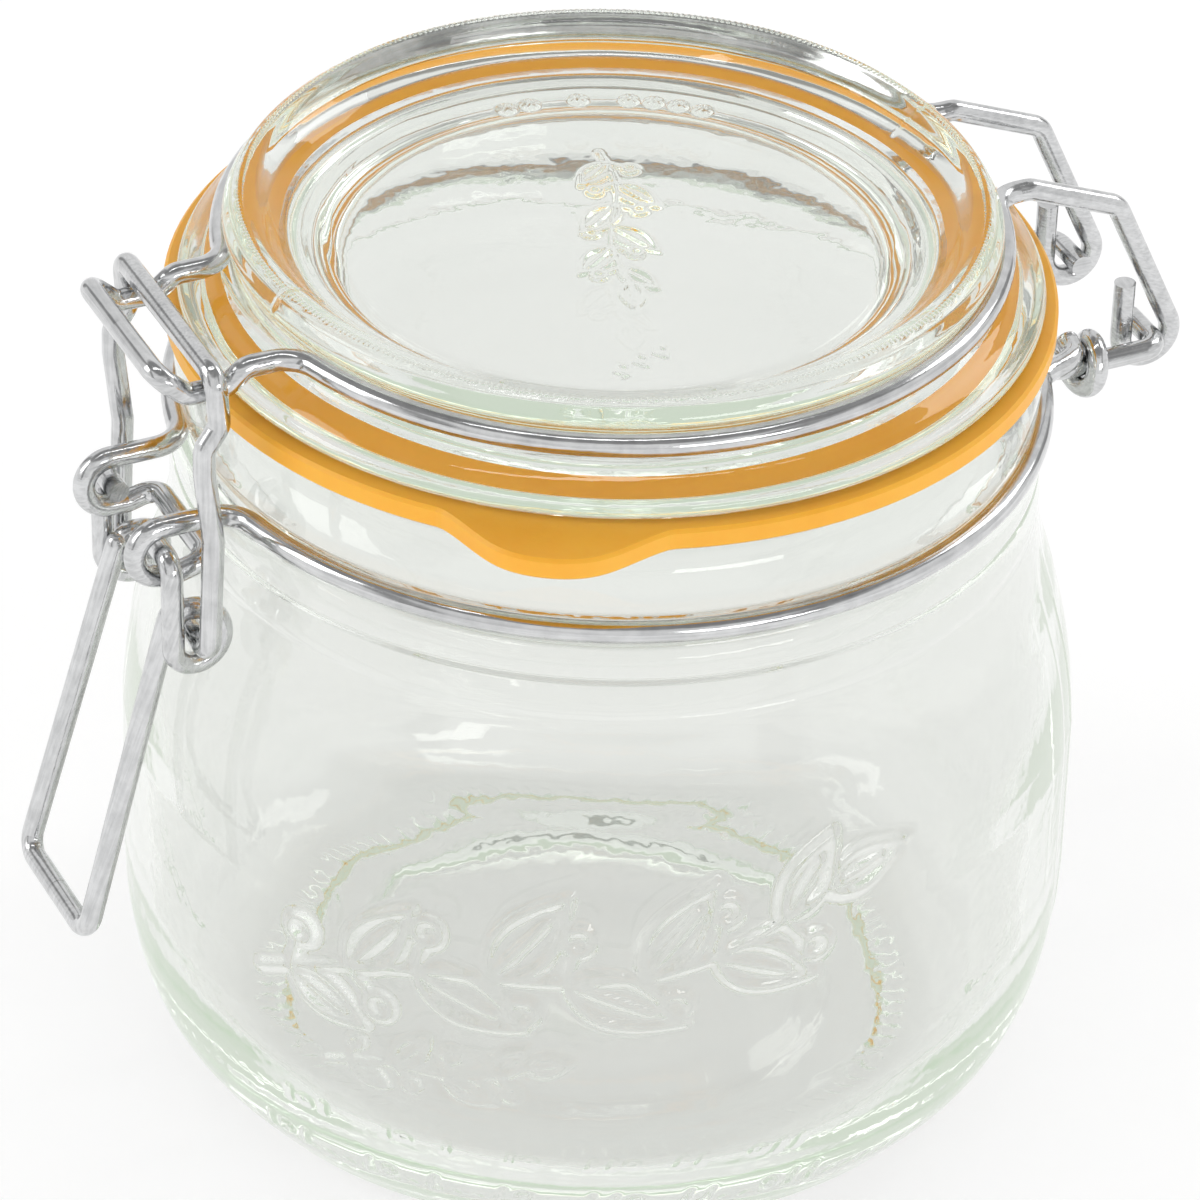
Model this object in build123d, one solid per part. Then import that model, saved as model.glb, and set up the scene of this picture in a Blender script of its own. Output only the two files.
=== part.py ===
"""Clip-top preserving jar: glass jar, glass lid, rubber seal and five bent wires.

Millimetres, +Z up, jar axis on Z, jar foot on Z = 0.
Hinge on +X, clamp on -X, embossed front on -Y.
"""

import os
from math import asin, atan2, cos, degrees, hypot, pi, radians, sin, sqrt

from build123d import *

# Shared wire stock
WIRE_R = 1.2
SEAT_GAP = 0.1
RUN_GAP = 0.3
EYE_R = 3.0

# Jar glass
BODY_R = 52.4
NECK_R = 46.9
FINISH_R = 46.4
JAR_TOP_Z = 92.9
MOUTH_R = 38.3
WALL = 3.6
FLOOR_Z = 5.4
FOOT_R = 36.5
FOOT_WIDTH = 2.5

# Rubber seal
SEAL_R = 47.7
SEAL_BORE_R = 38.9
SEAL_THICK = 2.45
SEAL_Z = JAR_TOP_Z + 0.05
TAB_ANGLE = 238.0
TAB_REACH = 5.8
TAB_WIDTH = 13.0
TAB_ROOT_WIDTH = 26.0

# Glass lid
LID_Z = SEAL_Z + SEAL_THICK + 0.05
FLANGE_R = 46.2
RIM_R = 41.4
LID_TOP_Z = 106.3
DISH_R = 33.0
DISH_Z = 102.6
PLUG_R = 35.6

# Neck wire, seated in the groove round the jar's neck
NECK_RING_R = 46.8
NECK_RING_Z = 82.5
EYE_Y = 7.2
PIVOT = (-54.6, NECK_RING_Z - EYE_R)
CLOSER_X = -49.3
CLOSER_Z = 77.4

# Hinge wire, gripped by the coiled ends of the neck wire
HINGE = (61.0, 80.0)
ARM_Y = 12.4
ARM_END_X = 46.9
CHORD_X = 48.2
CHORD_HALF_Y = 5.5
COIL_R = NECK_RING_Z - HINGE[1]
COIL_X = 49.9
COIL_PITCH = 2.6
COIL_TURNS = 1.2
HINGE_PIN_END_Y = 5.6

# Lid wire, seated in the groove under the lid's rim
LID_RING_R = 41.6
LID_RING_Z = 101.8
PRONG_Y = 9.0
PRONG_BEND = (56.2, 97.3)
HOOK_TIP_Z = 87.0
LOOP_Y = 9.8

# Clamp link and lever
CRANK_Y = EYE_Y + 2 * WIRE_R + RUN_GAP
LINK_Y = CRANK_Y + 2 * WIRE_R + RUN_GAP
LINK_PIN = (-51.4, 69.0)
BAR = (-50.8, 103.3)
BAR_REST_GAP = 0.9
LOOP_END_X = BAR[0] - 5.2
LOOP_END_Z = 102.9
PIN_END_Y = 4.8
COIL_STEP_Y = 2.5
HANDLE_FOOT = (-64.0, 33.4)
HANDLE_FOOT_Y = 8.6


def rounded(points, radius):
    """Lines through the points, joined by tangent arcs of one radius."""
    corners = [Vector(*p) for p in points]
    edges = []
    start = corners[0]
    for before, corner, after in zip(corners, corners[1:], corners[2:]):
        back = (before - corner).normalized()
        onward = (after - corner).normalized()
        turn = pi - radians(back.get_angle(onward))
        reach = radius * sin(turn / 2) / cos(turn / 2)
        inward = (back + onward).normalized()
        middle = corner + inward * (radius / cos(turn / 2) - radius)
        edges.append(Line(start, corner + back * reach))
        edges.append(ThreePointArc(corner + back * reach, middle, corner + onward * reach))
        start = corner + onward * reach
    edges.append(Line(start, corners[-1]))
    return edges


def in_plane(y, points):
    """Points given as (x, z), all set at one y."""
    return [(x, y, z) for x, z in points]


def arc_about(centre, radius, start, end, y):
    """An arc in the XZ plane at y, from one angle to another, in degrees."""
    def at(angle):
        return (centre[0] + radius * cos(radians(angle)), y, centre[1] + radius * sin(radians(angle)))
    return ThreePointArc(at(start), at((start + end) / 2), at(end))


def rod(edges):
    """Round wire along the edges, with its mirror image in the XZ plane joined on."""
    path = Wire(edges)
    section = (path ^ 0) * Circle(WIRE_R)
    half = sweep(section, path=path)
    return half + mirror(half, about=Plane.XZ)


def ring_exit(ring_r, exit_y, bend, side, z):
    """The S-bend from a ring to a straight run along X at -exit_y.

    Returns the arc, its point on the ring and its end; side is -1 or +1.
    """
    centre_y = -(exit_y + bend)
    centre_x = side * sqrt((ring_r + bend) ** 2 - centre_y ** 2)
    scale = ring_r / (ring_r + bend)
    on_ring = (centre_x * scale, centre_y * scale, z)
    end = (centre_x, -exit_y, z)
    from_angle = atan2(on_ring[1] - centre_y, on_ring[0] - centre_x)
    to_angle = pi / 2
    if from_angle < -pi / 2:
        from_angle += 2 * pi
    middle = (from_angle + to_angle) / 2
    between = (centre_x + bend * cos(middle), centre_y + bend * sin(middle), z)
    return ThreePointArc(on_ring, between, end), on_ring, end


def ring_arc(ring_r, z, start, end):
    """The ring's arc through the front, between two of its points."""
    return ThreePointArc(start, (0, -ring_r, z), end)


def jar_outline():
    """Outside of the jar, from the foot up to the top of the mouth."""
    heel = [(FOOT_R, 0), (41.5, 0.9), (45.6, 3.6), (48.8, 7.8), (50.9, 12.8), (52.0, 18.5), (BODY_R, 25)]
    shoulder = [(BODY_R, 44), (51.9, 49), (50.9, 54.5), (49.5, 60), (48.0, 65), (NECK_R, 70.5)]
    return heel, shoulder


def glass_jar():
    heel, shoulder = jar_outline()
    wire_top = NECK_RING_Z + WIRE_R + SEAT_GAP
    wire_foot = NECK_RING_Z - WIRE_R - SEAT_GAP
    groove_r = NECK_RING_R - WIRE_R - SEAT_GAP
    line_z = 76.3
    with BuildPart() as jar:
        with BuildSketch(Plane.XZ):
            with BuildLine():
                Polyline((0, 1.6), (FOOT_R - 6, 1.2), (FOOT_R - FOOT_WIDTH, 0), heel[0])
                Spline(heel, tangents=[(1, 0), (0, 1)])
                Line(heel[-1], shoulder[0])
                Spline(shoulder, tangents=[(0, 1), (0, 1)])
                Polyline(
                    shoulder[-1],
                    (NECK_R, line_z - 0.5),
                    (NECK_R - 0.5, line_z),
                    (NECK_R, line_z + 0.5),
                    (NECK_R, wire_foot - 0.8),
                    (NECK_R - 0.8, wire_foot),
                )
                ThreePointArc(
                    (NECK_R - 0.8, wire_foot),
                    (groove_r, NECK_RING_Z),
                    (FINISH_R - 0.3, wire_top),
                )
                Polyline(
                    (FINISH_R - 0.3, wire_top),
                    (FINISH_R, wire_top + 0.6),
                    (FINISH_R, JAR_TOP_Z - 1),
                )
                ThreePointArc(
                    (FINISH_R, JAR_TOP_Z - 1),
                    (FINISH_R - 0.29, JAR_TOP_Z - 0.29),
                    (FINISH_R - 1, JAR_TOP_Z),
                )
                Line((FINISH_R - 1, JAR_TOP_Z), (MOUTH_R + 1, JAR_TOP_Z))
                ThreePointArc(
                    (MOUTH_R + 1, JAR_TOP_Z),
                    (MOUTH_R + 0.29, JAR_TOP_Z - 0.29),
                    (MOUTH_R, JAR_TOP_Z - 1),
                )
                Line((MOUTH_R, JAR_TOP_Z - 1), (MOUTH_R, 87))
                Spline(
                    (MOUTH_R, 87),
                    (41.6, 80),
                    (43.0, 71),
                    (46.4, 59),
                    (BODY_R - WALL, 46),
                    tangents=[(0, -1), (0, -1)],
                )
                Line((BODY_R - WALL, 46), (BODY_R - WALL, 24))
                Spline(
                    (BODY_R - WALL, 24),
                    (46.6, 13.5),
                    (41.6, 7.8),
                    (33, FLOOR_Z),
                    tangents=[(0, -1), (-1, 0)],
                )
                Polyline((33, FLOOR_Z), (0, FLOOR_Z + 0.6), (0, 1.6))
            make_face()
        revolve(axis=Axis.Z)
    return jar.part


def glass_lid():
    groove_r = LID_RING_R - WIRE_R - SEAT_GAP
    groove_top = (RIM_R - 0.5, LID_RING_Z + WIRE_R + SEAT_GAP)
    groove_foot = (RIM_R + 0.2, LID_RING_Z - WIRE_R - SEAT_GAP - 0.1)
    with BuildPart() as lid:
        with BuildSketch(Plane.XZ):
            with BuildLine():
                Polyline((0, 96.6), (29.5, 96.3), (31.6, 93.4), (PLUG_R - 1, 92.9), (PLUG_R, 93.6), (36.4, LID_Z))
                Line((36.4, LID_Z), (FLANGE_R - 0.8, LID_Z))
                ThreePointArc((FLANGE_R - 0.8, LID_Z), (FLANGE_R, LID_Z + 0.9), (FLANGE_R - 0.6, LID_Z + 2))
                Spline(
                    (FLANGE_R - 0.6, LID_Z + 2),
                    (44.3, 98.7),
                    (42.4, 99.7),
                    groove_foot,
                )
                ThreePointArc(groove_foot, (groove_r, LID_RING_Z), groove_top)
                Spline(
                    groove_top,
                    (RIM_R, 104.0),
                    (RIM_R - 0.6, 105.3),
                    (39.5, LID_TOP_Z),
                    (38.2, 106.1),
                    (36.2, 104.4),
                    (DISH_R + 0.6, DISH_Z + 0.3),
                    (DISH_R - 1.5, DISH_Z),
                    tangents=[(1, 1.4), (-1, 0)],
                )
                Polyline((DISH_R - 1.5, DISH_Z), (0, DISH_Z - 0.3), (0, 96.6))
            make_face()
        revolve(axis=Axis.Z)
    return lid.part


def rubber_seal():
    """Flat ring with a pull tab, tapering from a wide root to a rounded tongue."""
    tip = SEAL_R + TAB_REACH
    root = SEAL_R - 2.2
    half_root = TAB_ROOT_WIDTH / 2
    half_tip = TAB_WIDTH / 2
    with BuildSketch() as outline:
        Circle(SEAL_R)
        Circle(SEAL_BORE_R, mode=Mode.SUBTRACT)
    with BuildSketch() as tab:
        with BuildLine():
            Spline(
                (root, -half_root),
                (SEAL_R + 1.3, -half_tip - 2.4),
                (tip - 1.2, -half_tip + 1.4),
                (tip, 0),
                (tip - 1.2, half_tip - 1.4),
                (SEAL_R + 1.3, half_tip + 2.4),
                (root, half_root),
            )
            Line((root, half_root), (root, -half_root))
        make_face()
    flat = outline.sketch + Rot(Z=TAB_ANGLE) * tab.sketch
    ring = extrude(Pos(Z=SEAL_Z) * flat, SEAL_THICK)
    return chamfer(ring.edges(), 0.35)


def neck_wire():
    """Ring, clamp eyes and the crosspiece that closes them; its hinge ends are coiled."""
    z = NECK_RING_Z
    side_bend, leave_ring, leave_bend = ring_exit(NECK_RING_R, EYE_Y, 4.0, -1, z)
    px, pz = PIVOT
    y = -EYE_Y
    angle = radians(22)
    ring_end = (NECK_RING_R * cos(angle), -NECK_RING_R * sin(angle), z)

    def coil_point(turns):
        t = 2 * pi * turns
        return (COIL_X + COIL_PITCH * turns, -ARM_Y + COIL_R * sin(t), HINGE[1] + COIL_R * cos(t))

    steps = 20
    coil = Spline(
        [coil_point(COIL_TURNS * (steps - n) / steps) for n in range(steps + 1)],
        tangents=[
            (-COIL_PITCH / (2 * pi), -COIL_R * cos(2 * pi * COIL_TURNS), COIL_R * sin(2 * pi * COIL_TURNS)),
            (-COIL_PITCH / (2 * pi), -COIL_R, 0),
        ],
    )
    lead = Spline(
        [coil_point(0), ring_end],
        tangents=[(-COIL_PITCH / (2 * pi), -COIL_R, 0), (-sin(angle), -cos(angle), 0)],
    )
    eye = [
        Line(leave_bend, (px, y, z)),
        arc_about(PIVOT, EYE_R, 90, 270, y),
    ]
    closer = rounded(
        [(px, y, pz - EYE_R), (px + 2, y, pz - EYE_R), (CLOSER_X, y, CLOSER_Z), (CLOSER_X, 0, CLOSER_Z)], 1.9
    )
    return rod([coil, lead, ring_arc(NECK_RING_R, z, ring_end, leave_ring), side_bend, *eye, *closer])


def hinge_wire():
    """Bracket held in the neck wire's coils: two pivot pins, two arms and a chord bent to the neck."""
    hx, hz = HINGE
    return rod(
        rounded(
            [
                (hx, -HINGE_PIN_END_Y, hz),
                (hx, -ARM_Y, hz),
                (ARM_END_X, -ARM_Y, hz),
                (CHORD_X, -CHORD_HALF_Y, hz),
                (CHORD_X, 0, hz),
            ],
            2.0,
        )
    )


def lid_wire():
    """Ring under the lid's rim, clamp loop on one side and two hinge hooks on the other."""
    z = LID_RING_Z
    hook_bend, hook_ring, hook_exit = ring_exit(LID_RING_R, PRONG_Y, 4.0, 1, z)
    loop_bend, loop_ring, loop_exit = ring_exit(LID_RING_R, LOOP_Y, 4.0, -1, z)
    hx, hz = HINGE
    bx, bz = PRONG_BEND
    apart = hypot(hx - bx, hz - bz)
    slope = atan2(hz - bz, hx - bx) + asin(EYE_R / apart)
    meet = degrees(slope) + 90
    tangent = (hx + EYE_R * cos(radians(meet)), hz + EYE_R * sin(radians(meet)))
    stub = Line((hx - EYE_R, -PRONG_Y, HOOK_TIP_Z), (hx - EYE_R, -PRONG_Y, hz))
    hook = arc_about(HINGE, EYE_R, -180, meet, -PRONG_Y)
    level = hook_exit[0] + 1.5
    prong = rounded(
        [*in_plane(-PRONG_Y, [tangent, PRONG_BEND, (level, z)]), hook_exit], 2.4
    )
    valley = BAR[1] - 2 * WIRE_R - BAR_REST_GAP
    loop = rounded(
        [
            loop_exit,
            *in_plane(-LOOP_Y, [(-46.2, z), (BAR[0] + 2.4, valley), (BAR[0] - 2.0, valley), (LOOP_END_X, LOOP_END_Z)]),
            (LOOP_END_X, 0, LOOP_END_Z),
        ],
        1.9,
    )
    return rod([stub, hook, *prong, hook_bend, ring_arc(LID_RING_R, z, hook_ring, loop_ring), loop_bend, *loop])


def clamp_link():
    """Upside-down U: a bar over the lid wire, two jogged legs and inturned pins."""
    bx, bz = BAR
    lx, lz = LINK_PIN
    leg = in_plane(
        -LINK_Y,
        [(bx, bz), (bx + 0.5, bz - 6.0), (bx - 1.2, bz - 8.6), (bx - 1.2, bz - 11.4), (lx + 0.4, bz - 20), (lx, lz)],
    )
    return rod(rounded([(bx, 0, bz), *leg, (lx, -PIN_END_Y, lz)], 1.9))


def clamp_lever():
    """Pivot pins, cranks, coils round the link pins and the pull-down handle."""
    px, pz = PIVOT
    lx, lz = LINK_PIN
    apart = hypot(lx - px, lz - pz)
    slope = atan2(lz - pz, lx - px) - asin(EYE_R / apart)
    crank_end = degrees(slope) - 90
    fx, fz = HANDLE_FOOT
    reach = hypot(fx - lx, fz - lz)
    handle_slope = atan2(fz - lz, fx - lx) + asin(EYE_R / reach)
    handle_start = degrees(handle_slope) - 90
    turn = (handle_start - crank_end) % 360
    steps = 14

    def coil_point(part):
        angle = radians(crank_end + turn * part)
        y = -CRANK_Y + COIL_STEP_Y * part
        return (lx + EYE_R * cos(angle), y, lz + EYE_R * sin(angle))

    coil = Spline(
        [coil_point(n / steps) for n in range(steps + 1)],
        tangents=[(cos(slope), 0, sin(slope)), (cos(handle_slope), 0, sin(handle_slope))],
    )
    start = coil_point(0)
    crank = rounded([(px, -PIN_END_Y, pz), (px, -CRANK_Y, pz), start], 1.9)
    handle = rounded([coil_point(1), (fx, -HANDLE_FOOT_Y, fz), (fx, 0, fz)], 2.2)
    return rod([*crank, coil, *handle])


PIECES = {
    "glass_jar": glass_jar,
    "glass_lid": glass_lid,
    "rubber_seal": rubber_seal,
    "neck_wire": neck_wire,
    "hinge_wire": hinge_wire,
    "lid_wire": lid_wire,
    "clamp_link": clamp_link,
    "clamp_lever": clamp_lever,
}


def main():
    os.makedirs("parts", exist_ok=True)
    for name, make in PIECES.items():
        export_step(make(), f"parts/{name}.step")


main()
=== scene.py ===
"""Looks for the clip-top preserving jar: detailed glass over the CAD glass, wire and rubber finishes.

Lengths in the shape code are millimetres; meshes and the stage are made in metres.
"""

from math import atan2, ceil, cos, hypot, pi, radians, sin

import bpy
import numpy as np
from mathutils import Matrix, Vector

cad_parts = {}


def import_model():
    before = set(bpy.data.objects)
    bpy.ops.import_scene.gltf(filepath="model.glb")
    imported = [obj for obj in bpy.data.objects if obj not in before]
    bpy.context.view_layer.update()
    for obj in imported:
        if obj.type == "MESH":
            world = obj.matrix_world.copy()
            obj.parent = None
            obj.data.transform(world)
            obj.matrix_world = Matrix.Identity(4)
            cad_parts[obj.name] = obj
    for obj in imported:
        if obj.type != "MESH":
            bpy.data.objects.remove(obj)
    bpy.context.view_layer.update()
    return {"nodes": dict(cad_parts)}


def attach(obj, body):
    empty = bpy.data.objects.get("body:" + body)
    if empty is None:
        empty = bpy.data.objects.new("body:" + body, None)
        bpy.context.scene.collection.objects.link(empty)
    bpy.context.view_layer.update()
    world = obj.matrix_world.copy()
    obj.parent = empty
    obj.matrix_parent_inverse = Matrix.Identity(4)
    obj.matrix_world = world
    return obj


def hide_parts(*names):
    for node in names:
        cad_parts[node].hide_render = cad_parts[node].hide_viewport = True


MM = 0.001

# Jar profile; grooves are (z, r)
BODY_R = 52.4
NECK_R = 46.9
FINISH_R = 46.4
JAR_TOP_Z = 92.9
MOUTH_R = 38.3
NECK_GROOVE = (82.5, 45.5)
NECK_LINE_Z = 76.3

# Lid profile; the underside is pressed into the rubber out to one radius and stands clear of it beyond
LID_Z = 95.38
PRESSED_R = 42.2
FLANGE_EDGE_Z = 95.6
FLANGE_R = 46.2
RIM_R = 41.4
DISH_Z = 102.6
LID_GROOVE = (101.8, 40.3)

# Ornament on the jar's front, which faces this way round the axis
FRONT_ANGLE = 238.6
SPRAY_HEIGHT = 0.62
SPRAY_STROKE = 1.15
SMALL_SPRAY_STROKE = 0.75
HEEL_HEIGHT = 0.35
HEEL_STROKE = 0.65
SEAM_ANGLE = FRONT_ANGLE - 180 + 90
SEAM_HEIGHT = 0.14

# Grooves round the jar's foot
KNURL_COUNT = 96
KNURL_R = 35.6
KNURL_DEPTH = 0.2
KNURL_HALF_LENGTH = 2.6
KNURL_HALF_WIDTH = 0.75

# Ornament on the lid
LID_RELIEF = 0.3
LID_STROKE = 0.55
LOZENGE_STROKE = 0.4
ROSETTE_R = 1.25
ROSETTE_HEIGHT = 0.55
ROSETTE_FLUTES = 9
ROSETTE_RING_R = 26.2
ROSETTE_ANGLES = (91.2, 85.2, 73.3, 61.2, 55.2, 49.2, 43.2)
BEAD_COUNT = 380
BEAD_HEIGHT = 0.13
BEAD_BAND = (39.2, 39.9)
LID_SEAM_ANGLE = 6.4
LID_SEAM_HEIGHT = 0.16

# Camera
CAMERA_REACH = 0.6635
CAMERA_HEIGHT = 0.5068
CAMERA_AZIMUTH = -26.10
CAMERA_PITCH = 34.28
CAMERA_ROLL = 2.02
CAMERA_LENS = 219.7

# Glass and rubber: both bend light alike; the rubber gets a painted orange glow where it is seen through
# glass
IOR = 1.52
GLASS_DENSITY = 5.0
RUBBER_PAINTED_GLOW = 0.28

# The renderer follows light through this many reflections, and this many bounces in all; past them the glass
# gets a painted pale green glow
GLOSSY_LIMIT = 4
BOUNCE_LIMIT = 12

# Stage
FLOOR_REACH = 6.0
FLOOR_DROP = 0.0002
FLOOR_GLOW = 0.66
LIGHT_TARGET = (0, 0, 0.05)
CARDS_ASIDE = (0.90, -0.44, 0.0)


# ---------------------------------------------------------------- shapes

def smooth_path(points, step):
    """Points about one step apart on a smooth curve through the given (r, z) points."""
    p = np.array(points, float)
    if len(p) == 2:
        count = max(1, ceil(np.linalg.norm(p[1] - p[0]) / step))
        return [tuple(p[0] + (p[1] - p[0]) * n / count) for n in range(count + 1)]
    chord = np.linalg.norm(np.diff(p, axis=0), axis=1)
    slopes = np.diff(p, axis=0) / chord[:, None]
    tangents = np.empty_like(p)
    tangents[0], tangents[-1] = slopes[0], slopes[-1]
    before, after = chord[:-1, None], chord[1:, None]
    tangents[1:-1] = (slopes[:-1] * after + slopes[1:] * before) / (before + after)
    path = [tuple(p[0])]
    for n, length in enumerate(chord):
        count = max(1, ceil(length / step))
        for k in range(1, count + 1):
            t = k / count
            point = (
                (2 * t**3 - 3 * t**2 + 1) * p[n]
                + (t**3 - 2 * t**2 + t) * length * tangents[n]
                + (3 * t**2 - 2 * t**3) * p[n + 1]
                + (t**3 - t**2) * length * tangents[n + 1]
            )
            path.append(tuple(point))
    return path


def even_angles(count):
    """Angles in degrees at equal steps round the axis."""
    return [360.0 * n / count for n in range(count)]


def angles_with_fine(coarse, spans):
    """Angles round the axis at a coarse step, and at a finer step inside each (start, end, step) span."""
    found = []
    angle = 0.0
    while angle < 359.99:
        found.append(angle)
        step = coarse
        for start, end, fine in spans:
            if start <= angle < end:
                step = min(step, fine)
            elif angle < start < angle + step:
                step = start - angle
        angle += step
    return found


def lathe(name, rows, relief):
    """A closed mesh of rings round the Z axis.

    rows are (r, z, angles, normal) from the axis, over the outside, back to the axis;
    relief(points, normals) moves each ring's points outwards.
    """
    coordinates = []
    rings = []
    for r, z, angles, (normal_r, normal_z) in rows:
        if r < 1e-6:
            rings.append(([0.0], len(coordinates)))
            coordinates.append((0.0, 0.0, z))
            continue
        turn = np.radians(angles)
        points = np.stack([r * np.cos(turn), r * np.sin(turn), np.full(len(turn), z)], 1)
        normals = np.stack(
            [normal_r * np.cos(turn), normal_r * np.sin(turn), np.full(len(turn), normal_z)], 1
        )
        moved = points + relief(points, normals)[:, None] * normals
        rings.append((list(angles), len(coordinates)))
        coordinates.extend(map(tuple, moved))
    faces = []
    for lower, upper in zip(rings, rings[1:]):
        faces.extend(faces_between(lower, upper))
    mesh = bpy.data.meshes.new(name)
    mesh.from_pydata([(x * MM, y * MM, z * MM) for x, y, z in coordinates], [], faces)
    mesh.validate()
    mesh.shade_smooth()
    piece = bpy.data.objects.new(name, mesh)
    bpy.context.scene.collection.objects.link(piece)
    return piece


def faces_between(lower, upper):
    """Faces that join two rings, each given as its angles and its first vertex."""
    low_angles, low_start = lower
    up_angles, up_start = upper
    low_count, up_count = len(low_angles), len(up_angles)
    if low_count == 1 and up_count == 1:
        return []
    if low_angles == up_angles:
        return [
            (low_start + n, low_start + (n + 1) % low_count, up_start + (n + 1) % up_count, up_start + n)
            for n in range(low_count)
        ]
    faces = []
    low, up = 0, 0
    while low < low_count or up < up_count:
        next_low = low_angles[low + 1] if low + 1 < low_count else 360.0
        next_up = up_angles[up + 1] if up + 1 < up_count else 360.0
        low_vertex = low_start + low % low_count
        up_vertex = up_start + up % up_count
        step_low = up_count == 1 or (low < low_count and (up >= up_count or next_low <= next_up))
        if low_count == 1:
            step_low = False
        if step_low:
            faces.append((low_vertex, low_start + (low + 1) % low_count, up_vertex))
            low += 1
            if up_count == 1 and low == low_count:
                break
        else:
            faces.append((low_vertex, up_start + (up + 1) % up_count, up_vertex))
            up += 1
            if low_count == 1 and up == up_count:
                break
    return faces


def stretch(step, angles, *points):
    """A stretch for profile_rows(): a smooth path through (r, z) points, ringed at the given angles."""
    return smooth_path(points, step), angles


def profile_rows(stretches):
    """Rows for lathe() from stretches that share their end points."""
    path, owners = [], []
    for points, angles in stretches:
        for point in points[(1 if path else 0):]:
            path.append(point)
            owners.append(angles)
    p = np.array(path)
    ahead = np.vstack([p[1:], p[-1:]]) - np.vstack([p[:1], p[:-1]])
    ahead /= np.linalg.norm(ahead, axis=1)[:, None]
    return [(r, z, angles, (tz, -tr)) for (r, z), angles, (tr, tz) in zip(path, owners, ahead)]


def ripple(points, waves):
    """A smooth uneven height from a few waves, each (cycles round, cycles per mm up, phase, height)."""
    turn = np.arctan2(points[:, 1], points[:, 0])
    height = np.zeros(len(points))
    for round_cycles, up_cycles, phase, size in waves:
        height += size * np.sin(round_cycles * turn + 2 * pi * up_cycles * points[:, 2] + phase)
    return height


def seeded_waves(seed, count, rounds, ups, size):
    """Waves for ripple(), always the same for one seed."""
    draw = np.random.default_rng(seed)
    return [
        (
            int(draw.integers(rounds[0], rounds[1])),
            draw.uniform(ups[0], ups[1]),
            draw.uniform(0, 2 * pi),
            size * draw.uniform(0.5, 1.0),
        )
        for _ in range(count)
    ]


# ---------------------------------------------------------------- ornament

def distance_to_path(points, path):
    """Shortest distance from each flat point to a polyline."""
    nearest = np.full(len(points), 1e9)
    for start, end in zip(path, path[1:]):
        start, along = np.array(start), np.array(end) - np.array(start)
        share = np.clip((points - start) @ along / max(along @ along, 1e-12), 0, 1)
        nearest = np.minimum(nearest, np.linalg.norm(points - start - share[:, None] * along, axis=1))
    return nearest


def raised(distance, half_width):
    """A rounded ridge, 1 along its middle and 0 at its foot."""
    share = np.clip(distance / half_width, 0, 1)
    return 0.5 + 0.5 * np.cos(pi * share)


def leaf(base, heading, length, width):
    """Outline and midrib of a pointed leaf."""
    steps = 10
    forward = np.array([cos(heading), sin(heading)])
    across = np.array([-forward[1], forward[0]])
    sides = []
    for side in (1, -1):
        edge = [
            tuple(np.array(base) + forward * length * t + across * side * width / 2 * sin(pi * t**0.8))
            for t in (n / steps for n in range(steps + 1))
        ]
        sides.append(edge)
    rib = [tuple(np.array(base) + forward * length * t) for t in (0.0, 0.72)]
    return [*sides, rib]


def circle(centre, radius):
    """A closed stroke of 16 short sides."""
    return [
        (centre[0] + radius * cos(2 * pi * n / 16), centre[1] + radius * sin(2 * pi * n / 16))
        for n in range(17)
    ]


def spray(start, end, bow, pairs, leaf_length, leaf_width, berry):
    """Strokes of a leafy spray whose stem bows between two flat points."""
    start, end = np.array(start, float), np.array(end, float)
    along = end - start
    across = np.array([-along[1], along[0]]) / np.linalg.norm(along)
    heading = atan2(along[1], along[0])

    def stem(t):
        return start + along * t + across * bow * sin(2 * pi * t)

    strokes = [[tuple(stem(n / 30)) for n in range(31)]]
    for n in range(pairs):
        t = (n + 0.6) / (pairs + 0.3)
        side = 1 if n % 2 else -1
        size = 0.75 + 0.35 * sin(pi * t)
        turn = heading + side * radians(38)
        strokes += leaf(tuple(stem(t)), turn, leaf_length * size, leaf_width * size)
        stalk_turn = heading - side * radians(62)
        stalk_end = stem(t) + berry * 2.6 * np.array([cos(stalk_turn), sin(stalk_turn)])
        strokes.append([tuple(stem(t)), tuple(stalk_end)])
        fruit = stalk_end + berry * np.array([cos(stalk_turn), sin(stalk_turn)])
        strokes.append(circle(fruit, berry))
    strokes += leaf(tuple(stem(1.0)), heading, leaf_length * 0.8, leaf_width * 0.8)
    return strokes


def strokes_height(points, strokes, half_width):
    """The highest ridge of all strokes over each flat point, from 0 to 1."""
    height = np.zeros(len(points))
    for path in strokes:
        near = np.array(path)
        low, high = near.min(0) - half_width, near.max(0) + half_width
        chosen = np.all((points >= low) & (points <= high), axis=1)
        if chosen.any():
            ridge = raised(distance_to_path(points[chosen], path), half_width)
            height[chosen] = np.maximum(height[chosen], ridge)
    return height


def angle_from(points, middle):
    """Degrees round the axis from a middle direction, from -180 to 180."""
    turn = np.degrees(np.arctan2(points[:, 1], points[:, 0])) - middle
    return (turn + 180) % 360 - 180


# ---------------------------------------------------------------- glass pieces

FRONT_SPRAY = spray((-33, 33), (31, 50), 2.2, 8, 12.5, 5.6, 1.5)
SMALL_SPRAY = spray((-24, 24.5), (-1, 30), 0.8, 4, 5.6, 2.8, 0.8)
HEEL_TICKS = (-34, -31.4, -28.8, -20, -17.4, -12, -4, -1.4, 6, 8.6, 11.2, 17, 19.6, 27, 29.6, 32.2)


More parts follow.
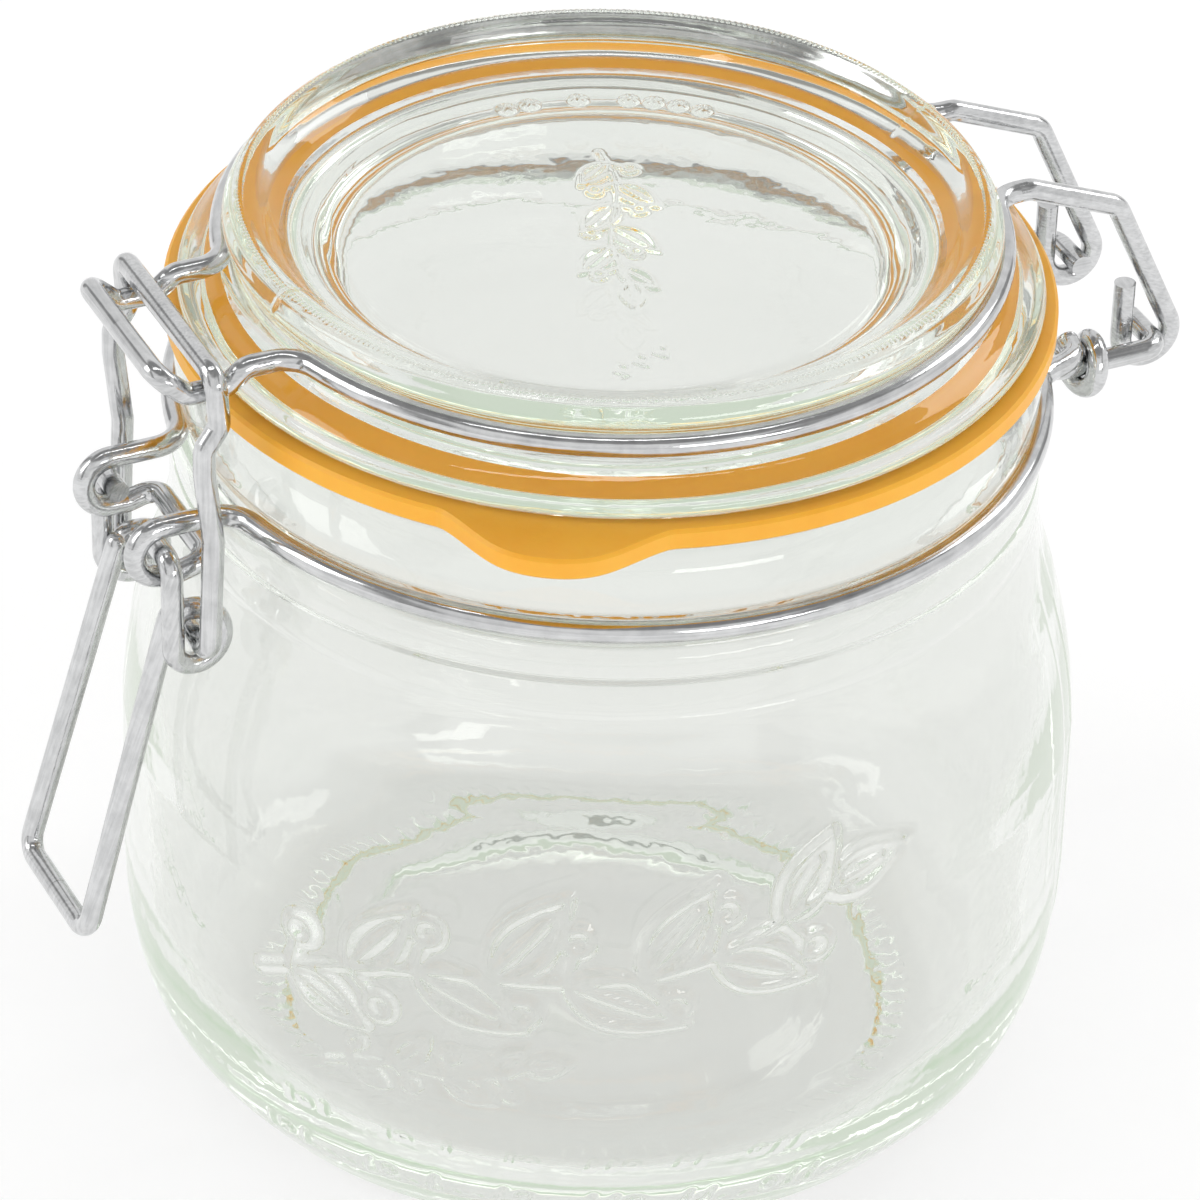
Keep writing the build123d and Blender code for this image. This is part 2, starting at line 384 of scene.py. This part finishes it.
def front_relief(points):
    """The spray on the jar's front and the marks along its heel, as a height in mm."""
    across = radians(1) * angle_from(points, FRONT_ANGLE) * BODY_R
    flat = np.stack([across, points[:, 2]], 1)
    height = SPRAY_HEIGHT * strokes_height(flat, FRONT_SPRAY, SPRAY_STROKE)
    small = 0.8 * SPRAY_HEIGHT * strokes_height(flat, SMALL_SPRAY, SMALL_SPRAY_STROKE)
    height = np.maximum(height, small)
    marks = []
    for n, x in enumerate(HEEL_TICKS):
        if n % 3 == 1:
            marks.append(circle((x, 10.4), 0.7))
        else:
            marks.append([(x, 9.2), (x + 0.5, 11.6)])
    return np.maximum(height, HEEL_HEIGHT * strokes_height(flat, marks, HEEL_STROKE))


def seam_relief(points, seam_angle, half_width):
    """The faint vertical line where two mould halves met, on both sides."""
    height = np.zeros(len(points))
    radius = np.hypot(points[:, 0], points[:, 1])
    for middle in (seam_angle, seam_angle + 180):
        distance = np.abs(radians(1) * angle_from(points, middle)) * radius
        height = np.maximum(height, raised(distance, half_width))
    return height


def knurl_relief(points):
    """Short radial grooves round the foot, as a height below the skin."""
    radius = np.hypot(points[:, 0], points[:, 1])
    turn = np.degrees(np.arctan2(points[:, 1], points[:, 0]))
    pitch = 360 / KNURL_COUNT
    off = np.abs((turn / pitch + 0.5) % 1 - 0.5) * radians(pitch) * radius
    band = raised(np.abs(radius - KNURL_R), KNURL_HALF_LENGTH)
    return -KNURL_DEPTH * raised(off, KNURL_HALF_WIDTH) * np.minimum(band * 2, 1)


def jar_outside(even, dense, fine):
    """Stretches from the middle of the foot over the heel and body to the neck."""
    heel = [(41.5, 0.9), (45.6, 3.6), (48.8, 7.8), (50.9, 12.8), (52.0, 18.5), (BODY_R, 25)]
    shoulder = [(BODY_R, 44), (51.9, 49), (50.9, 54.5), (49.5, 60), (48.0, 65), (NECK_R, 70.5)]
    return [
        stretch(1.6, even, (0, 2.0), (26.4, 1.7), (27.4, 1.3), (30.5, 1.2)),
        stretch(0.45, dense, (30.5, 1.2), (33.0, 0.9), (34.2, 0.12), (35.2, 0.0), (36.5, 0.04), (38.6, 0.22)),
        stretch(1.0, even, (38.6, 0.22), *heel[:2]),
        stretch(0.5, fine, *heel[1:]),
        stretch(0.45, fine, (BODY_R, 25), (BODY_R, 44)),
        stretch(0.5, fine, *shoulder[:4]),
        stretch(1.3, even, *shoulder[3:]),
    ]


def jar_neck(even):
    """Stretches up the neck, with its lines and the wire's groove, and over the sealing face."""
    neck, rim = NECK_R, FINISH_R
    groove_z, groove_r = NECK_GROOVE
    line_z = NECK_LINE_Z
    return [
        stretch(0.9, even, (neck, 70.5), (neck, 71.0), (neck - 0.12, 71.3), (neck, 71.6), (neck, 75.6)),
        stretch(0.3, even, (neck, 75.6), (neck - 0.05, 75.9), (neck - 0.45, line_z), (neck - 0.05, 76.7)),
        stretch(0.9, even, (neck - 0.05, 76.7), (neck, 77.0), (neck, 80.2), (neck - 0.25, 80.9)),
        stretch(
            0.35,
            even,
            (neck - 0.25, 80.9),
            (neck - 0.9, 81.4),
            (groove_r, groove_z),
            (rim - 0.35, 83.75),
            (rim - 0.02, 84.3),
        ),
        stretch(0.8, even, (rim - 0.02, 84.3), (rim, 84.8), (rim, 91.6), (rim - 0.3, 92.55)),
        stretch(0.6, even, (rim - 0.3, 92.55), (rim - 1.1, JAR_TOP_Z), (MOUTH_R + 1.2, JAR_TOP_Z)),
    ]


def jar_inside(even):
    """Stretches from the mouth down the inside to the middle of the jar's floor."""
    mouth = MOUTH_R
    throat = [(mouth, 87.0), (39.4, 84), (41.6, 80), (43.0, 71), (46.4, 59), (48.5, 50), (48.8, 46)]
    bottom = [(48.8, 24), (48.3, 19), (46.6, 13.5), (44.4, 10), (41.6, 7.8), (37.5, 6.1), (33, 5.5)]
    return [
        stretch(0.5, even, (mouth + 1.2, JAR_TOP_Z), (mouth + 0.3, 92.6), (mouth, 91.6), (mouth, 87.0)),
        stretch(1.1, even, *throat),
        stretch(1.1, even, (48.8, 46), (48.8, 24)),
        stretch(1.0, even, *bottom),
        stretch(0.5, even, (33, 5.5), (28.6, 5.3), (27.7, 5.45), (27.0, 5.95), (26.0, 6.1)),
        stretch(1.8, even, (26.0, 6.1), (14, 6.2), (3, 6.2), (0, 6.2)),
    ]


def jar_glass():
    """The jar: decoration, seams and waves outside, waves inside and grooves under the foot."""
    outer_waves = seeded_waves(3, 9, (2, 9), (-0.012, 0.012), 0.035)
    inner_waves = seeded_waves(11, 12, (2, 9), (-0.02, 0.02), 0.03)
    inner_low, inner_high, inner_fade = 16, 78, 8

    def relief(points, normals):
        radius = np.hypot(points[:, 0], points[:, 1])
        outward = (normals[:, 0] * points[:, 0] + normals[:, 1] * points[:, 1]) / np.maximum(radius, 1e-6)
        height = np.zeros(len(points))
        z = points[0, 2]
        # The heel and body outside, then the wall inside, then the foot
        if outward[0] > 0.15 and radius[0] > 40 and z < 70:
            height += front_relief(points)
            height += SEAM_HEIGHT * seam_relief(points, SEAM_ANGLE, 0.6)
            height += ripple(points, outer_waves)
        elif outward[0] < -0.1 and inner_low < z < inner_high:
            fade = min(1.0, (z - inner_low) / inner_fade, (inner_high - z) / inner_fade)
            height += fade * ripple(points, inner_waves)
        elif normals[0, 2] < -0.5 and z < 2:
            height += knurl_relief(points)
        return height

    front = (197.0, 281.5, 0.44)
    near_seam = (SEAM_ANGLE - 2, SEAM_ANGLE + 2, 0.35)
    far_seam = (SEAM_ANGLE + 178, SEAM_ANGLE + 182, 0.35)
    fine = angles_with_fine(1.5, [front, near_seam, far_seam])
    even = even_angles(288)
    stretches = [*jar_outside(even, even_angles(576), fine), *jar_neck(even), *jar_inside(even)]
    return lathe("jar_glass", profile_rows(stretches), relief)


def lid_relief_strokes():
    """The spray in the middle of the lid and three small lozenges near its front."""
    strokes = spray((5.0, 14.5), (-3.2, -11.0), 1.0, 6, 6.4, 3.0, 0.75)
    lozenges = []
    for n in (-1, 0, 1):
        x, y = -8.6 + 2.6 * n, -25.4 + 0.9 * n
        lozenges.append([(x - 0.9, y), (x, y + 1.3), (x + 0.9, y), (x, y - 1.3), (x - 0.9, y)])
    return strokes, lozenges


def rosette_relief(points):
    """Small fluted buttons in a row, as a height from 0 to 1."""
    height = np.zeros(len(points))
    for angle in ROSETTE_ANGLES:
        middle = ROSETTE_RING_R * np.array([cos(radians(angle)), sin(radians(angle))])
        off = points[:, :2] - middle
        distance = np.linalg.norm(off, axis=1)
        flutes = 0.7 + 0.3 * np.cos(ROSETTE_FLUTES * np.arctan2(off[:, 1], off[:, 0]))
        dome = np.clip(1 - (distance / ROSETTE_R) ** 2, 0, 1)
        height = np.maximum(height, np.sqrt(dome) * (0.35 + 0.65 * flutes) * (distance < ROSETTE_R))
    return height


def lid_underside(even):
    """Stretches from the middle of the hollow over the plug and the flange's edge to the rim."""
    flange = FLANGE_R
    clear_r = PRESSED_R + 0.6
    plug_inside = [(26.5, 96.3), (28.8, 96.1), (30.2, 95.2), (31.2, 93.9), (32.4, 93.05), (34.2, 92.85)]
    plug_outside = [(34.2, 92.85), (35.2, 93.1), (35.7, 93.8), (36.1, 94.8), (36.7, 95.4), (38.0, LID_Z)]
    return [
        stretch(2.0, even, (0, 96.6), (26.5, 96.3)),
        stretch(0.6, even, *plug_inside),
        stretch(0.5, even, *plug_outside),
        stretch(1.4, even, (38.0, LID_Z), (PRESSED_R, LID_Z)),
        stretch(0.35, even, (PRESSED_R, LID_Z), (clear_r, FLANGE_EDGE_Z)),
        stretch(1.4, even, (clear_r, FLANGE_EDGE_Z), (flange - 0.8, FLANGE_EDGE_Z)),
        stretch(
            0.35,
            even,
            (flange - 0.8, FLANGE_EDGE_Z),
            (flange - 0.25, 95.85),
            (flange, 96.5),
            (flange - 0.2, 97.1),
            (flange - 0.8, 97.6),
        ),
        stretch(0.6, even, (flange - 0.8, 97.6), (44.3, 98.6), (42.5, 99.6), (RIM_R + 0.15, 100.5)),
    ]


def lid_rim(even, rim, beads):
    """Stretches from the wire's groove up the rim, over its beaded edge and down into the dish."""
    groove_z, groove_r = LID_GROOVE
    bead_in = BEAD_BAND[0]
    outside = [(RIM_R - 0.4, 103.1), (RIM_R, 104.0), (RIM_R - 0.5, 105.2), (40.3, 105.95), (39.95, 106.08)]
    inside = [(bead_in, 106.2), (38.2, 106.05), (37.2, 105.35), (36.2, 104.4), (34.8, 103.3)]
    return [
        stretch(
            0.35,
            even,
            (RIM_R + 0.15, 100.5),
            (groove_r + 0.35, 101.0),
            (groove_r, groove_z),
            (groove_r + 0.35, 102.6),
            (RIM_R - 0.4, 103.1),
        ),
        stretch(0.4, rim, *outside),
        stretch(0.13, beads, (39.95, 106.08), (39.72, 106.18), (39.5, 106.22), (bead_in, 106.2)),
        stretch(0.45, rim, *inside),
        stretch(0.7, rim, (34.8, 103.3), (33.6, 102.85), (32.2, 102.62), (30.0, DISH_Z)),
    ]


def lid_dish(even, buttons):
    """Stretches from the dish's edge, fine under the rosettes and the spray, to its middle."""
    return [
        stretch(0.22, buttons, (30.0, DISH_Z), (27.8, DISH_Z), (24.6, DISH_Z - 0.05)),
        stretch(1.0, even, (24.6, DISH_Z - 0.05), (16.5, DISH_Z - 0.15)),
        stretch(0.3, even_angles(360), (16.5, DISH_Z - 0.15), (2.4, DISH_Z - 0.28)),
        stretch(0.3, even_angles(120), (2.4, DISH_Z - 0.28), (0, DISH_Z - 0.3)),
    ]


def lid_glass():
    """The lid: spray, lozenges and rosettes in the dish, beads and a seam on the rim, waves all over."""
    waves = seeded_waves(5, 8, (2, 7), (-0.02, 0.02), 0.03)
    under_waves = seeded_waves(8, 8, (2, 7), (-0.02, 0.02), 0.012)
    sprig, lozenges = lid_relief_strokes()
    bead_in, bead_out = BEAD_BAND

    def relief(points, normals):
        radius = hypot(points[0, 0], points[0, 1])
        z = points[0, 2]
        height = np.zeros(len(points))
        # The dish, the rim's edge, the rim's top and inside, then the waves above and below
        if normals[0, 2] > 0.5 and radius < 32:
            flat = points[:, :2]
            height += LID_RELIEF * strokes_height(flat, sprig, LID_STROKE)
            height += 0.8 * LID_RELIEF * strokes_height(flat, lozenges, LOZENGE_STROKE)
            height += ROSETTE_HEIGHT * rosette_relief(points)
        if bead_in < radius < bead_out and z > 105.9:
            turn = np.arctan2(points[:, 1], points[:, 0])
            height += BEAD_HEIGHT * (0.5 + 0.5 * np.cos(BEAD_COUNT * turn))
        if 35.5 < radius < 41.6 and z > 103.4:
            height += LID_SEAM_HEIGHT * seam_relief(points, LID_SEAM_ANGLE, 0.5)
        if radius > 30 and z > 96:
            height += ripple(points, waves)
        if normals[0, 2] < -0.5 and radius < 30:
            height += ripple(points, under_waves)
        return height

    even = even_angles(288)
    near_seam = (LID_SEAM_ANGLE - 2, LID_SEAM_ANGLE + 2, 0.3)
    far_seam = (LID_SEAM_ANGLE + 178, LID_SEAM_ANGLE + 182, 0.3)
    rim = angles_with_fine(1.25, [near_seam, far_seam])
    buttons = angles_with_fine(1.25, [(38.0, 96.0, 0.3), (232.0, 262.0, 0.5)])
    beads = even_angles(4 * BEAD_COUNT)
    stretches = [*lid_underside(even), *lid_rim(even, rim, beads), *lid_dish(even, buttons)]
    return lathe("lid_glass", profile_rows(stretches), relief)


# ---------------------------------------------------------------- materials

def new_material(name):
    """A material with only a Principled shader and its output."""
    material = bpy.data.materials.new(name)
    material.use_nodes = True
    nodes = material.node_tree.nodes
    nodes.clear()
    output = nodes.new("ShaderNodeOutputMaterial")
    shader = nodes.new("ShaderNodeBsdfPrincipled")
    links = material.node_tree.links
    links.new(shader.outputs["BSDF"], output.inputs["Surface"])
    return material, nodes, links, shader


def noise(nodes, links, vector, scale, detail=4.0, roughness=0.5):
    """Smooth noise from 0 to 1; a larger scale gives smaller spots."""
    node = nodes.new("ShaderNodeTexNoise")
    node.inputs["Scale"].default_value = scale
    node.inputs["Detail"].default_value = detail
    node.inputs["Roughness"].default_value = roughness
    links.new(vector, node.inputs["Vector"])
    return node.outputs["Fac"]


def ramp(nodes, links, factor, stops):
    """A colour looked up in (place, colour) stops."""
    node = nodes.new("ShaderNodeValToRGB")
    elements = node.color_ramp.elements
    while len(elements) < len(stops):
        elements.new(0.5)
    for element, (place, colour) in zip(elements, stops):
        element.position = place
        element.color = (*colour, 1.0)
    links.new(factor, node.inputs["Fac"])
    return node.outputs["Color"]


def spread(nodes, links, value, low, high):
    """A value from 0 to 1 stretched to run from low to high."""
    node = nodes.new("ShaderNodeMapRange")
    node.inputs["To Min"].default_value = low
    node.inputs["To Max"].default_value = high
    links.new(value, node.inputs["Value"])
    return node.outputs["Result"]


def bump(nodes, links, height, strength, distance, normal=None):
    """A skin too fine for the mesh, optionally on top of another one."""
    node = nodes.new("ShaderNodeBump")
    node.inputs["Strength"].default_value = strength
    node.inputs["Distance"].default_value = distance
    links.new(height, node.inputs["Height"])
    if normal is not None:
        links.new(normal, node.inputs["Normal"])
    return node.outputs["Normal"]


def deeper_than(nodes, links, depth, limit):
    """1 for a ray with more bounces of one kind than the limit, else 0."""
    path = nodes.new("ShaderNodeLightPath")
    over = nodes.new("ShaderNodeMath")
    over.operation = "GREATER_THAN"
    over.inputs[1].default_value = limit
    links.new(path.outputs[depth], over.inputs[0])
    return over.outputs["Value"]


def painted_glow_where_trapped(nodes, links):
    """1 for light that has been reflected inside the glass too often to be followed further, else 0.

    Real glass lets it out at last; here the glass gets a painted pale green glow instead of going black.
    """
    either = nodes.new("ShaderNodeMath")
    either.operation = "MAXIMUM"
    links.new(deeper_than(nodes, links, "Glossy Depth", GLOSSY_LIMIT - 0.5), either.inputs[0])
    links.new(deeper_than(nodes, links, "Ray Depth", BOUNCE_LIMIT - 0.5), either.inputs[1])
    return either.outputs["Value"]


def glass_material(name):
    """Pressed soda glass: orange-peel skin, faint cloudiness, green where it is thick, and a painted pale
    green glow where light is trapped inside.
    """
    material, nodes, links, shader = new_material(name)
    place = nodes.new("ShaderNodeTexCoord").outputs["Object"]
    tint = noise(nodes, links, place, 30.0, 3.0)
    links.new(
        ramp(nodes, links, tint, [(0.3, (0.89, 0.897, 0.883)), (0.7, (0.912, 0.916, 0.902))]),
        shader.inputs["Base Color"],
    )
    haze = noise(nodes, links, place, 90.0, 6.0, 0.6)
    links.new(spread(nodes, links, haze, 0.0, 0.035), shader.inputs["Roughness"])
    peel = noise(nodes, links, place, 260.0, 2.0)
    links.new(bump(nodes, links, peel, 0.12, 0.0003), shader.inputs["Normal"])
    shader.inputs["Transmission Weight"].default_value = 1.0
    shader.inputs["IOR"].default_value = IOR
    # Painted glow: pale green emission on the glass wherever a ray has gone past the reflection or bounce
    # limit
    links.new(painted_glow_where_trapped(nodes, links), shader.inputs["Emission Strength"])
    shader.inputs["Emission Color"].default_value = (0.36, 0.38, 0.345, 1.0)
    material.cycles.emission_sampling = "NONE"
    absorb = nodes.new("ShaderNodeVolumeAbsorption")
    absorb.inputs["Color"].default_value = (0.58, 0.82, 0.54, 1.0)
    absorb.inputs["Density"].default_value = GLASS_DENSITY
    links.new(absorb.outputs["Volume"], nodes["Material Output"].inputs["Volume"])
    return material


def rubber_material():
    """Moulded natural rubber: warm orange, satin, faintly mottled and grained.

    Most light that reaches it through the glass isn't followed, so there it has a painted orange glow to make
    up.
    """
    material, nodes, links, shader = new_material("orange_rubber_detail")
    place = nodes.new("ShaderNodeTexCoord").outputs["Object"]
    mottle = noise(nodes, links, place, 120.0, 6.0, 0.6)
    links.new(
        ramp(nodes, links, mottle, [(0.25, (0.96, 0.43, 0.022)), (0.75, (1.0, 0.50, 0.04))]),
        shader.inputs["Base Color"],
    )
    grain = noise(nodes, links, place, 900.0, 5.0, 0.6)
    links.new(spread(nodes, links, grain, 0.34, 0.5), shader.inputs["Roughness"])
    links.new(bump(nodes, links, grain, 0.2, 0.0002), shader.inputs["Normal"])
    shader.inputs["IOR"].default_value = IOR
    shader.inputs["Subsurface Weight"].default_value = 0.25
    shader.inputs["Subsurface Radius"].default_value = (0.004, 0.0016, 0.0005)
    shader.inputs["Subsurface Scale"].default_value = 0.5
    # Painted glow: orange emission on the rubber wherever the ray has passed through glass, standing in for
    # light that isn't followed
    through_glass = deeper_than(nodes, links, "Transmission Depth", 0.5)
    links.new(spread(nodes, links, through_glass, 0.0, RUBBER_PAINTED_GLOW), shader.inputs["Emission Strength"])
    shader.inputs["Emission Color"].default_value = (1.0, 0.44, 0.05, 1.0)
    return material


def along_ring(nodes, links, place):
    """Coordinates that run round the Z axis, for marks drawn along a ring."""
    split = nodes.new("ShaderNodeSeparateXYZ")
    links.new(place, split.inputs["Vector"])
    turn = nodes.new("ShaderNodeMath")
    turn.operation = "ARCTAN2"
    links.new(split.outputs["Y"], turn.inputs[0])
    links.new(split.outputs["X"], turn.inputs[1])
    length = nodes.new("ShaderNodeVectorMath")
    length.operation = "LENGTH"
    links.new(place, length.inputs[0])
    joined = nodes.new("ShaderNodeCombineXYZ")
    shrunk = nodes.new("ShaderNodeMath")
    shrunk.operation = "MULTIPLY"
    shrunk.inputs[1].default_value = 0.002
    links.new(turn.outputs["Value"], shrunk.inputs[0])
    links.new(shrunk.outputs["Value"], joined.inputs["X"])
    links.new(length.outputs["Value"], joined.inputs["Y"])
    links.new(split.outputs["Z"], joined.inputs["Z"])
    return joined.outputs["Vector"]


def along_line(nodes, links, place, tilt):
    """Coordinates squeezed along one direction in the XZ plane, for marks drawn along a straight leg."""
    node = nodes.new("ShaderNodeMapping")
    node.vector_type = "TEXTURE"
    node.inputs["Rotation"].default_value = (0, tilt, 0)
    node.inputs["Scale"].default_value = (1.0, 1.0, 30.0)
    links.new(place, node.inputs["Vector"])
    return node.outputs["Vector"]


def zinc_material(name, ringed, tilt=0.0):
    """Bright zinc plate on drawn wire: a light grey metal with long scratches and small dull blooms."""
    material, nodes, links, shader = new_material(name)
    place = nodes.new("ShaderNodeTexCoord").outputs["Object"]
    drawn = along_ring(nodes, links, place) if ringed else along_line(nodes, links, place, tilt)
    scratches = noise(nodes, links, drawn, 2600.0, 3.0, 0.55)
    bloom = noise(nodes, links, place, 420.0, 5.0, 0.6)
    shade = nodes.new("ShaderNodeMath")
    shade.operation = "MULTIPLY_ADD"
    shade.inputs[1].default_value = 0.5
    links.new(bloom, shade.inputs[0])
    half = nodes.new("ShaderNodeMath")
    half.operation = "MULTIPLY"
    half.inputs[1].default_value = 0.5
    links.new(scratches, half.inputs[0])
    links.new(half.outputs["Value"], shade.inputs[2])
    mixed = shade.outputs["Value"]
    links.new(
        ramp(nodes, links, mixed, [(0.3, (0.47, 0.475, 0.48)), (0.6, (0.69, 0.695, 0.70))]),
        shader.inputs["Base Color"],
    )
    links.new(spread(nodes, links, mixed, 0.06, 0.22), shader.inputs["Roughness"])
    drawn_skin = bump(nodes, links, scratches, 0.3, 0.00008)
    links.new(bump(nodes, links, bloom, 0.12, 0.0001, drawn_skin), shader.inputs["Normal"])
    shader.inputs["Metallic"].default_value = 1.0
    return material


def give(piece, material):
    """Sets every material slot of a piece, or makes one."""
    if not piece.material_slots:
        piece.data.materials.append(material)
    for slot in piece.material_slots:
        slot.material = material


# ---------------------------------------------------------------- stage

def floor():
    """A wide white sheet just under the jar, bright enough to meet the world without an edge."""
    mesh = bpy.data.meshes.new("floor")
    corners = [(FLOOR_REACH * x, FLOOR_REACH * y, 0) for x, y in ((-1, -1), (1, -1), (1, 1), (-1, 1))]
    mesh.from_pydata(corners, [], [(0, 1, 2, 3)])
    piece = bpy.data.objects.new("floor", mesh)
    bpy.context.scene.collection.objects.link(piece)
    piece.location.z = -FLOOR_DROP
    material, nodes, links, shader = new_material("floor_white")
    place = nodes.new("ShaderNodeTexCoord").outputs["Object"]
    cloud = noise(nodes, links, place, 3.0, 2.0)
    links.new(
        ramp(nodes, links, cloud, [(0.3, (0.44, 0.44, 0.44)), (0.7, (0.46, 0.46, 0.46))]),
        shader.inputs["Base Color"],
    )
    shader.inputs["Emission Color"].default_value = (1.0, 1.0, 1.0, 1.0)
    shader.inputs["Emission Strength"].default_value = FLOOR_GLOW
    shader.inputs["Roughness"].default_value = 0.9
    shader.inputs["Specular IOR Level"].default_value = 0.1
    give(piece, material)


def area_light(name, at, size, power):
    """A rectangular light aimed at the jar, in metres and watts."""
    data = bpy.data.lights.new(name, "AREA")
    data.shape = "RECTANGLE"
    data.size, data.size_y = size
    data.energy = power
    light = bpy.data.objects.new(name, data)
    bpy.context.scene.collection.objects.link(light)
    light.location = at
    direction = np.array(LIGHT_TARGET) - np.array(at)
    light.rotation_mode = "QUATERNION"
    light.rotation_quaternion = Vector(direction).to_track_quat("-Z", "Y")
    light.visible_camera = False


def world():
    """A pale studio: bright all round, darker overhead, with a grey card on either side."""
    made = bpy.data.worlds.new("studio")
    made.use_nodes = True
    nodes, links = made.node_tree.nodes, made.node_tree.links
    nodes.clear()
    output = nodes.new("ShaderNodeOutputWorld")
    background = nodes.new("ShaderNodeBackground")
    place = nodes.new("ShaderNodeTexCoord").outputs["Generated"]
    split = nodes.new("ShaderNodeSeparateXYZ")
    links.new(place, split.inputs["Vector"])
    height = ramp(
        nodes,
        links,
        split.outputs["Z"],
        [
            (0.0, (0.86, 0.86, 0.86)),
            (0.7, (0.92, 0.92, 0.92)),
            (0.8, (0.34, 0.34, 0.34)),
            (1.0, (0.30, 0.30, 0.30)),
        ],
    )
    aside = nodes.new("ShaderNodeVectorMath")
    aside.operation = "DOT_PRODUCT"
    aside.inputs[1].default_value = CARDS_ASIDE
    links.new(place, aside.inputs[0])
    either_side = nodes.new("ShaderNodeMath")
    either_side.operation = "ABSOLUTE"
    links.new(aside.outputs["Value"], either_side.inputs[0])
    cards = ramp(
        nodes,
        links,
        either_side.outputs["Value"],
        [
            (0.58, (1.0, 1.0, 1.0)),
            (0.64, (0.4, 0.4, 0.4)),
            (0.76, (0.4, 0.4, 0.4)),
            (0.82, (1.0, 1.0, 1.0)),
        ],
    )
    shade = nodes.new("ShaderNodeMix")
    shade.data_type = "RGBA"
    shade.blend_type = "MULTIPLY"
    shade.inputs["Factor"].default_value = 1.0
    links.new(height, shade.inputs["A"])
    links.new(cards, shade.inputs["B"])
    links.new(shade.outputs["Result"], background.inputs["Color"])
    background.inputs["Strength"].default_value = 1.0
    links.new(background.outputs["Background"], output.inputs["Surface"])
    bpy.context.scene.world = made


def camera():
    """A long lens looking down at the jar from its front left."""
    data = bpy.data.cameras.new("camera")
    data.lens = CAMERA_LENS
    data.sensor_width = 36.0
    data.clip_end = 50.0
    piece = bpy.data.objects.new("camera", data)
    bpy.context.scene.collection.objects.link(piece)
    turn, pitch, roll = radians(CAMERA_AZIMUTH), radians(CAMERA_PITCH), radians(CAMERA_ROLL)
    forward = np.array([-sin(turn) * cos(pitch), cos(turn) * cos(pitch), -sin(pitch)])
    level = np.array([cos(turn), sin(turn), 0.0])
    above = np.cross(level, forward)
    right = cos(roll) * level + sin(roll) * above
    up = -sin(roll) * level + cos(roll) * above
    at = (CAMERA_REACH * sin(turn), -CAMERA_REACH * cos(turn), CAMERA_HEIGHT)
    rows = [(right[n], up[n], -forward[n], at[n]) for n in range(3)]
    piece.matrix_world = Matrix([*rows, (0, 0, 0, 1)])
    bpy.context.scene.camera = piece


def stage():
    """Floor, world, camera and four soft lights."""
    floor()
    world()
    camera()
    area_light("left_soft", (-0.8, 0.25, 0.55), (0.4, 0.5), 1.8)
    area_light("right_soft", (0.75, 0.1, 0.6), (0.3, 0.4), 1.1)
    area_light("overhead_strip", (0, 0, 1.1), (0.9, 0.06), 0.9)
    area_light("front_strip", (0.15, -0.9, 0.35), (0.5, 0.14), 1.2)
    bpy.context.scene.view_settings.view_transform = "Standard"


# ---------------------------------------------------------------- the object

def main():
    """Puts the glass over the CAD glass, dresses the wires and the seal, and lights them."""
    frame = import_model()
    nodes = frame["nodes"]

    jar = jar_glass()
    give(jar, glass_material("jar_glass_detail"))
    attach(jar, "jar")
    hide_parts("glass_jar")

    lid = lid_glass()
    give(lid, glass_material("lid_glass_detail"))
    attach(lid, "lid")
    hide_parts("glass_lid")

    give(nodes["rubber_seal"], rubber_material())
    ring_zinc = zinc_material("zinc_ring", True)
    give(nodes["neck_wire"], ring_zinc)
    give(nodes["lid_wire"], ring_zinc)
    give(nodes["hinge_wire"], zinc_material("zinc_bracket", False, radians(90)))
    give(nodes["clamp_link"], zinc_material("zinc_link", False))
    give(nodes["clamp_lever"], zinc_material("zinc_lever", False, radians(20)))

    stage()


main()
